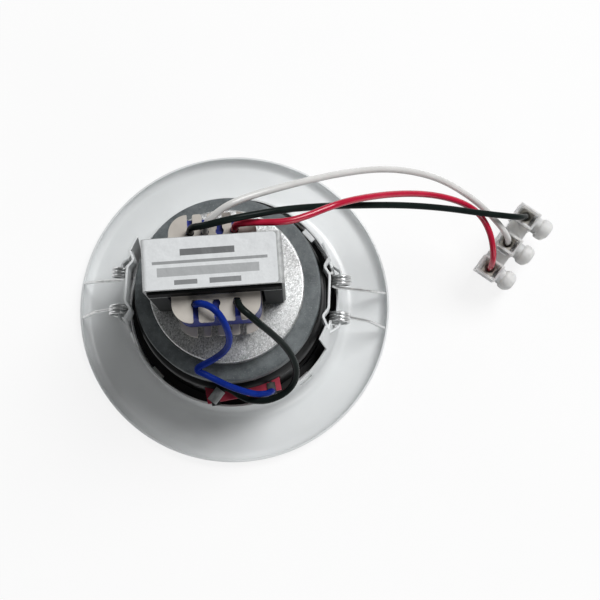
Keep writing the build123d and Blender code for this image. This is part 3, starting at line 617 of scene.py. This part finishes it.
def arc(cx, cz, radius, start, end, steps):
    points = []
    for k in range(steps + 1):
        a = math.radians(start + (end - start) * k / steps)
        points.append((cx + radius * math.cos(a), cz + radius * math.sin(a)))
    return points


def lathe(name, profile, count=TURNED_POINTS):
    bm = bmesh.new()
    rings = [ring_of(bm, r, z, even_angles(count)) for r, z in profile]
    for here, after in zip(rings, rings[1:] + rings[:1]):
        join(bm, here, after)
    bmesh.ops.remove_doubles(bm, verts=bm.verts, dist=WELD_TURNED)
    return smooth(mesh_from(bm, name))


def break_edges(piece, width, steps, degrees):
    edge = piece.modifiers.new("edge", "BEVEL")
    edge.width = width * MM
    edge.segments = steps
    edge.limit_method = "ANGLE"
    edge.angle_limit = math.radians(degrees)
    edge.harden_normals = True


def pressed_sheet(piece, thickness, edge_width, edge_steps):
    thick = piece.modifiers.new("sheet", "SOLIDIFY")
    thick.thickness = thickness * MM
    thick.offset = 0.0
    thick.use_even_offset = True
    break_edges(piece, edge_width, edge_steps, SHEET_EDGE_DEG)


def bevelled_copy(node, width):
    mesh = nodes[node].data.copy()
    bm = bmesh.new()
    bm.from_mesh(mesh)
    bmesh.ops.remove_doubles(bm, verts=bm.verts, dist=WELD_SOLID)
    bmesh.ops.dissolve_limit(bm, angle_limit=math.radians(FLAT_DEG), verts=bm.verts, edges=bm.edges)
    bm.to_mesh(mesh)
    bm.free()
    piece = piece_from(node + "_detail", slot_of[node], smooth(mesh, SOLID_EDGE_DEG), "base", node)
    break_edges(piece, width, SOLID_EDGE_STEPS, SOLID_EDGE_DEG)
    return piece


def wire_curve(name, points, diameter, steps):
    data = bpy.data.curves.new(name, "CURVE")
    data.dimensions = "3D"
    spline = data.splines.new("NURBS")
    spline.points.add(len(points) - 1)
    for point, place in zip(spline.points, points):
        point.co = (*place, 1.0)
    spline.order_u = SPLINE_ORDER
    spline.use_endpoint_u = True
    data.resolution_u = steps
    data.bevel_depth = diameter / 2 * MM
    data.bevel_resolution = WIRE_ROUNDNESS
    data.use_fill_caps = True
    piece = bpy.data.objects.new(name, data)
    scene.collection.objects.link(piece)
    return piece


# Trim housing as one pressed sheet
def steps_between(low, high, size):
    count = max(1, round((high - low) / size))
    return [low + (high - low) * k / count for k in range(count)]


def sheet_profile():
    lip_r = FLANGE_R - SHEET / 2
    points = arc(lip_r - LIP_BEND_R, LIP_H, LIP_BEND_R, 0.0, -QUARTER_TURN, BEND_STEPS)
    points += [(r, FLANGE_MID_Z) for r in FLANGE_RINGS]
    wall_deg = math.degrees(math.atan(NECK_SLOPE))
    bend_r = NECK_BASE_R + NECK_BEND_R * math.tan(math.radians(QUARTER_TURN - wall_deg) / 2)
    bend_z = FLANGE_MID_Z + NECK_BEND_R
    points += arc(bend_r, bend_z, NECK_BEND_R, -QUARTER_TURN, wall_deg - HALF_TURN, BEND_STEPS)
    return points + [(neck_r(z), z) for z in NECK_LEVELS]


def ear_rows():
    marks = [-EAR_HALF_W, -BAND_JOIN_Y, -WINDOW_HALF_W, WINDOW_HALF_W, BAND_JOIN_Y, EAR_HALF_W]
    rows = []
    for low, high in zip(marks, marks[1:]):
        rows += steps_between(low, high, EAR_STEP)
    return rows + [EAR_HALF_W]


def ring_angles():
    ear = [math.degrees(math.asin(y / neck_r(RIM_Z))) for y in ear_rows()]
    spans = [ear, [HALF_TURN + a for a in ear]]
    for tab in TAB_ANGLES:
        low = tab - TAB_HALF_DEG
        high = tab + TAB_HALF_DEG
        spans.append(steps_between(low, high, RING_STEP_DEG) + [high])
    angles = []
    for span in sorted(spans):
        if angles:
            angles += steps_between(angles[-1], span[0], RING_STEP_DEG)[1:]
        angles += span
    return angles + steps_between(angles[-1], FULL_TURN + ear[0], RING_STEP_DEG)[1:]


def in_tab(degrees):
    return any(abs((degrees - t + HALF_TURN) % FULL_TURN - HALF_TURN) < TAB_HALF_DEG for t in TAB_ANGLES)


def rounded(points, radius):
    out = [points[0]]
    for before, here, after in zip(points, points[1:], points[2:]):
        corner = Vector(here)
        a = Vector(before) - corner
        b = Vector(after) - corner
        reach = min(radius, CORNER_SHARE * a.length, CORNER_SHARE * b.length)
        start = corner + a.normalized() * reach
        end = corner + b.normalized() * reach
        for k in range(CORNER_STEPS + 1):
            t = k / CORNER_STEPS
            out.append(tuple((1 - t) ** 2 * start + 2 * t * (1 - t) * corner + t * t * end))
    return out + [points[-1]]


def strip_faces(bm, plan, low, high):
    rows = [[vert(bm, x, y, z) for x, y in plan] for z in (low, high)]
    join(bm, *rows, closed=False)


def neck_sheet(bm):
    angles = ring_angles()
    spans = zip(angles, angles[1:] + [angles[0] + FULL_TURN])
    tab_spans = {k for k, (a, b) in enumerate(spans) if in_tab((a + b) / 2)}
    profile = sheet_profile()
    rings = [ring_of(bm, r, z, angles) for r, z in profile]
    for i in range(len(rings) - 1):
        mid_z = (profile[i][1] + profile[i + 1][1]) / 2
        holes = tab_spans if TAB_HOLE_LOW_Z < mid_z < TAB_HOLE_HIGH_Z else ()
        join(bm, rings[i], rings[i + 1], skip=holes)


def ear_sheet(bm, side):
    rows = ear_rows()
    middles = [abs(a + b) / 2 for a, b in zip(rows, rows[1:])]
    grid = [[vert(bm, side * wall_x(y, z), side * y, z) for y in rows] for z in EAR_LEVELS]
    for i in range(len(EAR_LEVELS) - 1):
        mid_z = (EAR_LEVELS[i] + EAR_LEVELS[i + 1]) / 2
        open_half = 0.0
        if mid_z > BAND_LOW_Z:
            open_half = BAND_JOIN_Y
        elif mid_z > WINDOW_LOW_Z:
            open_half = WINDOW_HALF_W
        holes = {k for k, y in enumerate(middles) if y < open_half}
        join(bm, grid[i], grid[i + 1], closed=False, skip=holes)


def ear_fittings(bm, side):
    band = [(x, -y) for x, y in reversed(BAND_PLAN)] + BAND_PLAN
    band = [(side * x, side * y) for x, y in rounded(band, BAND_ROUND)]
    strip_faces(bm, band, BAND_LOW_Z, EAR_TOP_Z)
    for end in (1, -1):
        pin = [(side * x, side * end * y) for x, y in rounded(PIN_PLAN, PIN_ROUND)]
        strip_faces(bm, pin, COIL_Z - PIN_HALF_H, COIL_Z + PIN_HALF_H)


def tab_sheet(bm, degrees):
    out_r = neck_r(TAB_MID_Z) - TAB_ROOT_GAP
    half = TAB_W / 2
    corners = [(TAB_IN_R, -half), (out_r, -half), (out_r, half), (TAB_IN_R, half)]
    bm.faces.new([vert(bm, *turned(r, across, degrees), TAB_MID_Z) for r, across in corners])


def housing():
    bm = bmesh.new()
    neck_sheet(bm)
    for side in (1, -1):
        ear_sheet(bm, side)
        ear_fittings(bm, side)
    for degrees in TAB_ANGLES:
        tab_sheet(bm, degrees)
    bmesh.ops.remove_doubles(bm, verts=bm.verts, dist=WELD_SHEET)
    mesh = smooth(mesh_from(bm, "trim_housing_sheet"), SOFT_EDGE_DEG)
    piece = piece_from("trim_housing_sheet", "white_enamel", mesh, "base", "trim_housing")
    pressed_sheet(piece, SHEET, HOUSING_EDGE, HOUSING_EDGE_STEPS)


housing()


# Front grille as a perforated cup
def hole_centres():
    reach = math.ceil(2 * HOLE_FIELD_R / HOLE_PITCH)
    for i in range(-reach, reach + 1):
        for j in range(-reach, reach + 1):
            x = HOLE_PITCH * (i + j / 2)
            y = HOLE_PITCH * j * math.sqrt(3) / 2
            if math.hypot(x, y) <= HOLE_FIELD_R:
                yield x, y


def hole_cells(bm, z):
    shared = {}
    for cx, cy in hole_centres():
        cell = []
        hole = []
        for k, a in enumerate(even_angles(HOLE_POINTS)):
            far = HOLE_PITCH / 2 if k % 2 == 0 else HOLE_PITCH / math.sqrt(3)
            dx, dy = turned(1.0, 0.0, a)
            x = cx + far * dx
            y = cy + far * dy
            key = (round(x, KEY_DIGITS), round(y, KEY_DIGITS))
            if key not in shared:
                shared[key] = vert(bm, x, y, z)
            cell.append(shared[key])
            hole.append(vert(bm, cx + HOLE_R * dx, cy + HOLE_R * dy, z))
        join(bm, cell, hole)
    return set(shared.values())


def grille():
    bm = bmesh.new()
    mid_z = GRILLE_Z + GRILLE_SHEET / 2
    wall_r = GRILLE_R - GRILLE_SHEET / 2
    land = hole_cells(bm, mid_z)
    bend = arc(wall_r - GRILLE_BEND_R, mid_z + GRILLE_BEND_R, GRILLE_BEND_R, -QUARTER_TURN, 0.0,
               GRILLE_BEND_STEPS)
    rings = [ring_of(bm, r, z, even_angles(GRILLE_POINTS)) for r, z in bend + [(wall_r, GRILLE_TOP_Z)]]
    for here, after in zip(rings, rings[1:]):
        join(bm, here, after)
    land.update(rings[0])
    gap = [e for e in bm.edges if e.is_boundary and e.verts[0] in land and e.verts[1] in land]
    bmesh.ops.triangle_fill(bm, edges=gap, use_beauty=True, normal=(0.0, 0.0, -1.0))
    mesh = smooth(mesh_from(bm, "front_grille_sheet"))
    piece = piece_from("front_grille_sheet", "white_enamel", mesh, "base", "front_grille")
    pressed_sheet(piece, GRILLE_SHEET, GRILLE_EDGE, GRILLE_EDGE_STEPS)


grille()


# Magnet motor as turned pieces
def upper_break(r, z, size, steps, start=QUARTER_TURN):
    return arc(r - size, z - size, size, start, 0.0, steps)


def lower_break(r, z, size, steps, end=-QUARTER_TURN):
    return arc(r - size, z + size, size, 0.0, end, steps)


def back_plate():
    return ([(AXIS_R, YOKE_TOP_Z)]
            + upper_break(BACK_PLATE_R, YOKE_TOP_Z, BACK_PLATE_ROUND, BACK_PLATE_ROUND_STEPS)
            + lower_break(BACK_PLATE_R, BACK_PLATE_Z, PLATE_BREAK, PLATE_BREAK_STEPS)
            + [(POLE_R, BACK_PLATE_Z), (POLE_R, POLE_END_Z), (AXIS_R, POLE_END_Z)])


def ferrite_ring():
    land_r = FERRITE_R - FERRITE_LAND_IN
    return ([(FERRITE_HOLE_R, BACK_PLATE_Z), (land_r, BACK_PLATE_Z)]
            + upper_break(FERRITE_R, BACK_PLATE_Z, FERRITE_ROUND, FERRITE_ROUND_STEPS, FERRITE_ROUND_DEG)
            + lower_break(FERRITE_R, FERRITE_Z, FERRITE_ROUND, FERRITE_ROUND_STEPS, -FERRITE_ROUND_DEG)
            + [(land_r, FERRITE_Z), (FERRITE_HOLE_R, FERRITE_Z)])


def top_plate():
    return ([(TOP_PLATE_HOLE_R, FERRITE_Z)]
            + upper_break(TOP_PLATE_R, FERRITE_Z, PLATE_BREAK, PLATE_BREAK_STEPS)
            + lower_break(TOP_PLATE_R, SHOULDER_TOP_Z, PLATE_BREAK, PLATE_BREAK_STEPS)
            + [(TOP_PLATE_HOLE_R, SHOULDER_TOP_Z)])


for name, slot, profile, node in (("back_plate_turned", "zinc", back_plate(), "back_plate"),
                                  ("ferrite_turned", "ferrite", ferrite_ring(), "ferrite_magnet"),
                                  ("top_plate_turned", "zinc", top_plate(), "top_plate")):
    piece_from(name, slot, lathe(name, profile), "base", node)

# Sharp solids get broken edges
EDGE_WIDTHS = {"bobbin": 0.35, "core_e": 0.12, "core_i": 0.12, "tag_board": 0.15, "terminal_housing": 0.3,
               "terminal_inserts": 0.15, "solder_tags": 0.08}
broken = {node: bevelled_copy(node, width) for node, width in EDGE_WIDTHS.items()}

# Cone suspension and tinsel leads; on the real speaker they flex with the cone
TINSEL_ROUTES = {
    "tinsel_left": [(35.9, -12.7, 26.85), (31.6, -11.9, 26.15), (28.4, -11.0, 22.6), (24.5, -9.6, 18.6),
                    (19.3, -8.0, 15.35)],
    "tinsel_right": [(35.9, 8.9, 26.85), (31.6, 8.4, 26.15), (28.4, 7.8, 22.6), (24.5, 6.9, 18.2),
                     (19.9, 6.0, 15.4)],
}


def skin_profile(line, thickness):
    above = []
    below = []
    for k, (r, z) in enumerate(line):
        before = line[max(k - 1, 0)]
        after = line[min(k + 1, len(line) - 1)]
        along = Vector((after[0] - before[0], after[1] - before[1])).normalized() * thickness / 2
        above.append((r - along.y, z + along.x))
        below.append((r + along.y, z - along.x))
    return above + below[::-1]


def flexing(name, slot, mesh, node):
    piece = piece_from(name, slot, mesh, None, node)
    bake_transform(piece)


def surround_halves():
    mid_r = (ROLL_OUT_R + ROLL_IN_R) / 2
    low_z = SURROUND_MID_Z - ROLL_DEPTH
    roll = [(mid_r + ROLL_W / 2 * x, SURROUND_MID_Z + ROLL_DEPTH * y)
            for x, y in arc(0.0, 0.0, 1.0, 0.0, -HALF_TURN, ROLL_STEPS)]
    lowest = ROLL_STEPS // 2
    outer = [(SURROUND_OUT_R, SURROUND_MID_Z)] + roll[:lowest] + [(mid_r + ROLL_CUT, low_z)]
    inner = [(mid_r - ROLL_CUT, low_z)] + roll[lowest + 1:] + [(LAND_IN_R, SURROUND_MID_Z)]
    for name, line, base_z, cone_z in (("surround_outer", outer, SURROUND_Z, OUTER_CONE_Z),
                                       ("surround_inner", inner, INNER_BASE_Z, SURROUND_Z)):
        mesh = lathe(name, skin_profile(line, SURROUND_T), SUSPENSION_POINTS)
        flexing(name, "surround_rubber", mesh, "surround")


def spider_disc():
    line = [(SPIDER_IN_R, SPIDER_Z), (SPIDER_LAND_R, SPIDER_Z)]
    count = SPIDER_WAVES * SPIDER_WAVE_STEPS
    for k in range(1, count + 1):
        share = k / count
        lift = SPIDER_WAVE * (1 - math.cos(2 * math.pi * SPIDER_WAVES * share)) / 2
        line.append((SPIDER_LAND_R + (SPIDER_FOOT_R - SPIDER_LAND_R) * share, SPIDER_Z + lift))
    line += [(SPIDER_RIM_IN_R, SPIDER_RIM_Z), (SPIDER_RIM_OUT_R, SPIDER_RIM_Z)]
    mesh = lathe("spider_disc", skin_profile(line, SPIDER_T), SUSPENSION_POINTS)
    flexing("spider_disc", "spider_cloth", mesh, "spider")


def tinsel_braids():
    for name, route in TINSEL_ROUTES.items():
        points = metres([(*turned(out, along, BOARD_DEG), z) for out, along, z in route])
        line = wire_curve(name + "_line", points, TINSEL_D, TINSEL_STEPS)
        bpy.context.view_layer.update()
        mesh = bpy.data.meshes.new_from_object(line.evaluated_get(bpy.context.evaluated_depsgraph_get()))
        mesh.name = name
        bpy.data.objects.remove(line)
        flexing(name, "copper", smooth(mesh, SOFT_EDGE_DEG), "tinsel_leads")


surround_halves()
spider_disc()
tinsel_braids()

# Leads, from the bobbin's slots to the terminal strip or the tag board
REAR = 1
FRONT = -1


def slot_points(slot_x, side):
    dx, dy = turned(slot_x, side * LEAD_START, TF_DEG)
    spot = (TF_X + dx, TF_Y + dy)
    return [(*spot, WINDING_TOP_Z), (*spot, WINDING_TOP_Z + LEAD_RISE)]


def socket_points(pole):
    row = math.radians(BLOCK_ROW_DEG)
    lean = math.radians(BLOCK_LEAN_DEG)
    along = Vector((math.cos(row) * math.cos(lean), math.sin(row) * math.cos(lean), -math.sin(lean)))
    up = Vector((math.cos(row) * math.sin(lean), math.sin(row) * math.sin(lean), math.cos(lean)))
    base = Vector(BLOCK_CENTRE) + along * pole * POLE_PITCH
    return [tuple(base + up * BLOCK_LEN / 2), tuple(base + up * LEAD_SEAT)]


WHITE_ROUTE = [
    (-5.0, 14.8, 82.4), (-2.1, 17.5, 84.0), (2.0, 20.6, 84.5), (7.5, 23.7, 83.0), (15.6, 27.8, 79.0),
    (27.3, 33.2, 73.0), (40.3, 39.0, 65.0), (54.4, 43.8, 56.5), (66.7, 45.6, 49.0), (78.1, 44.8, 43.0),
    (88.3, 41.1, 38.0), (97.0, 35.7, 34.5), (103.2, 30.1, 32.0), (106.6, 26.9, 28.6)]
BLACK_ROUTE = [
    (-9.8, 12.9, 83.4), (-5.7, 12.7, 86.3), (0.6, 14.2, 88.0), (9.6, 16.9, 86.5), (21.0, 20.8, 81.0),
    (34.5, 24.4, 73.5), (48.7, 27.7, 64.5), (63.7, 30.7, 55.5), (79.4, 32.3, 47.5), (93.6, 32.6, 41.0),
    (104.4, 33.0, 36.5), (111.3, 33.8, 32.2)]
RED_ROUTE = [
    (4.9, 15.0, 81.4), (7.4, 15.2, 82.4), (11.1, 15.6, 82.4), (16.8, 15.8, 82.0), (22.8, 16.6, 81.5),
    (28.4, 18.8, 80.5), (34.1, 21.8, 79.0), (40.5, 25.3, 76.0), (48.7, 29.0, 70.0), (58.4, 32.8, 62.0),
    (69.4, 35.8, 53.5), (79.6, 37.0, 46.0), (88.4, 36.0, 40.5), (94.7, 33.1, 36.5), (98.8, 27.7, 33.0),
    (100.8, 21.4, 30.0), (101.3, 17.1, 26.2)]
BLUE_SPEAKER_ROUTE = [
    (-4.8, -12.4, 81.8), (-1.8, -13.6, 82.6), (0.9, -15.9, 81.6), (2.9, -19.1, 77.4), (3.7, -22.0, 70.5),
    (2.6, -24.7, 63.5), (-1.2, -27.2, 57.5), (-5.7, -29.2, 53.2), (-8.8, -30.5, 51.0), (-8.9, -31.7, 50.3),
    (-6.9, -32.4, 49.7), (-3.0, -34.1, 48.4), (1.9, -36.2, 46.2), (7.2, -37.7, 42.6), (12.0, -38.4, 38.8),
    (15.8, -37.8, 35.2), (17.54, -36.40, 32.6), (17.54, -36.40, 29.7)]
BLACK_SPEAKER_ROUTE = [
    (7.6, -13.3, 81.4), (10.2, -15.3, 81.6), (13.8, -17.9, 78.8), (17.8, -20.1, 72.0), (21.9, -22.8, 64.0),
    (25.2, -26.3, 57.0), (26.7, -30.4, 50.6), (25.9, -34.6, 45.2), (22.2, -38.3, 41.6), (16.6, -40.6, 38.4),
    (10.7, -40.75, 34.8), (6.0, -39.1, 33.0), (2.4, -36.7, 32.2), (-0.87, -35.5, 31.85),
    (-3.62, -39.46, 31.85)]
LEADS = {
    "white_lead": ("white_pvc", slot_points(-REAR_SLOT_IN_X, REAR) + WHITE_ROUTE + socket_points(0)),
    "black_lead": ("black_pvc", slot_points(-REAR_SLOT_OUT_X, REAR) + BLACK_ROUTE + socket_points(-1)),
    "red_lead": ("red_pvc", slot_points(REAR_SLOT_OUT_X, REAR) + RED_ROUTE + socket_points(1)),
    "blue_speaker_lead": ("blue_pvc", slot_points(-FRONT_SLOT_X, FRONT) + BLUE_SPEAKER_ROUTE),
    "black_speaker_lead": ("black_pvc", slot_points(FRONT_SLOT_X, FRONT) + BLACK_SPEAKER_ROUTE),
}

for name, (slot, route) in LEADS.items():
    points = metres(route)
    piece = wire_curve(name + "_wire", points, LEAD_D, LEAD_STEPS)
    dress(piece, slot)
    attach(piece, "base")
    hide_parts(name)


# Clip springs
def spring_points(sx, sy):
    tail_x = COIL_X - COIL_R
    local = [(tail_x, COIL_OUTER_Y, COIL_Z + TAIL_LEN), (tail_x, COIL_OUTER_Y, COIL_Z + TAIL_LEN / 2)]
    steps = int(COIL_TURNS * COIL_POINTS)
    for k in range(steps + 1):
        turns = COIL_TURNS * k / steps
        dx, dz = turned(-COIL_R, 0.0, FULL_TURN * turns)
        local.append((COIL_X + dx, COIL_OUTER_Y - COIL_PITCH * turns, COIL_Z + dz))
    root = Vector(local[-1])
    kink = Vector(ARM_KINK)
    tip = Vector(ARM_TIP)
    arm = [root.lerp(kink, share) for share in ARM_SHARES]
    arm += [kink] + [kink.lerp(tip, share) for share in TIP_SHARES]
    return metres([(sx * x, sy * y, z) for x, y, z in local + arm])


for name, sx, sy in (("left_rear", -1, 1), ("left_front", -1, -1),
                     ("right_rear", 1, 1), ("right_front", 1, -1)):
    piece = wire_curve(name + "_wire", spring_points(sx, sy), WIRE_D, SPRING_STEPS)
    dress(piece, "spring_wire")
    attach(piece, name + "_spring")
    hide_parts(name + "_spring")

# Floor, world and lamps, in metres
FLOOR_HALF = 20.0
FLOOR_GLOW = 0.85
WORLD_STRENGTH = 0.08
WHITE = (1.0, 1.0, 1.0, 1.0)


def floor_paper():
    sh = Shader("floor_paper")
    sh.set(Base_Color=sh.spread(sh.noise(scale=40.0), low=0.86, high=0.88), Roughness=0.9)
    glow = sh.node("ShaderNodeEmission", {"Color": WHITE, "Strength": 1.0})
    path = sh.node("ShaderNodeLightPath")
    seen = sh.math("MAXIMUM", path.outputs["Is Camera Ray"], path.outputs["Is Glossy Ray"])
    seen = sh.math("MAXIMUM", seen, path.outputs["Is Transmission Ray"])
    share = sh.math("MULTIPLY", seen, FLOOR_GLOW)
    blend = sh.node("ShaderNodeMixShader", {
        0: share, 1: sh.bsdf.outputs["BSDF"], 2: glow.outputs["Emission"]})
    sh.put(sh.tree.nodes["Material Output"].inputs["Surface"], blend.outputs["Shader"])
    return sh.mat


def floor_plane():
    mesh = bpy.data.meshes.new("floor")
    corners = [(x * FLOOR_HALF, y * FLOOR_HALF, 0.0) for x, y in ((-1, -1), (1, -1), (1, 1), (-1, 1))]
    mesh.from_pydata(corners, [], [(0, 1, 2, 3)])
    mesh.materials.append(floor_paper())
    floor = bpy.data.objects.new("floor", mesh)
    scene.collection.objects.link(floor)


def lamp(name, place, target, size, power):
    data = bpy.data.lights.new(name, "AREA")
    data.shape = "DISK"
    data.size = size
    data.energy = power
    lit = bpy.data.objects.new(name, data)
    lit.location = place
    lit.rotation_euler = (Vector(target) - Vector(place)).to_track_quat("-Z", "Y").to_euler()
    scene.collection.objects.link(lit)


floor_plane()
world = bpy.data.worlds.new("studio")
scene.world = world
world.use_nodes = True
background = world.node_tree.nodes["Background"]
background.inputs["Color"].default_value = WHITE
background.inputs["Strength"].default_value = WORLD_STRENGTH
lamp("key", place=(0.85, 0.82, 1.51), target=(0.03, 0.0, 0.03), size=1.1, power=36.0)
lamp("fill", place=(-0.65, 0.4, 0.3), target=(0.03, 0.0, 0.03), size=0.4, power=1.0)
lamp("front", place=(0.45, -0.62, 0.42), target=(0.0, 0.0, 0.05), size=0.4, power=1.3)
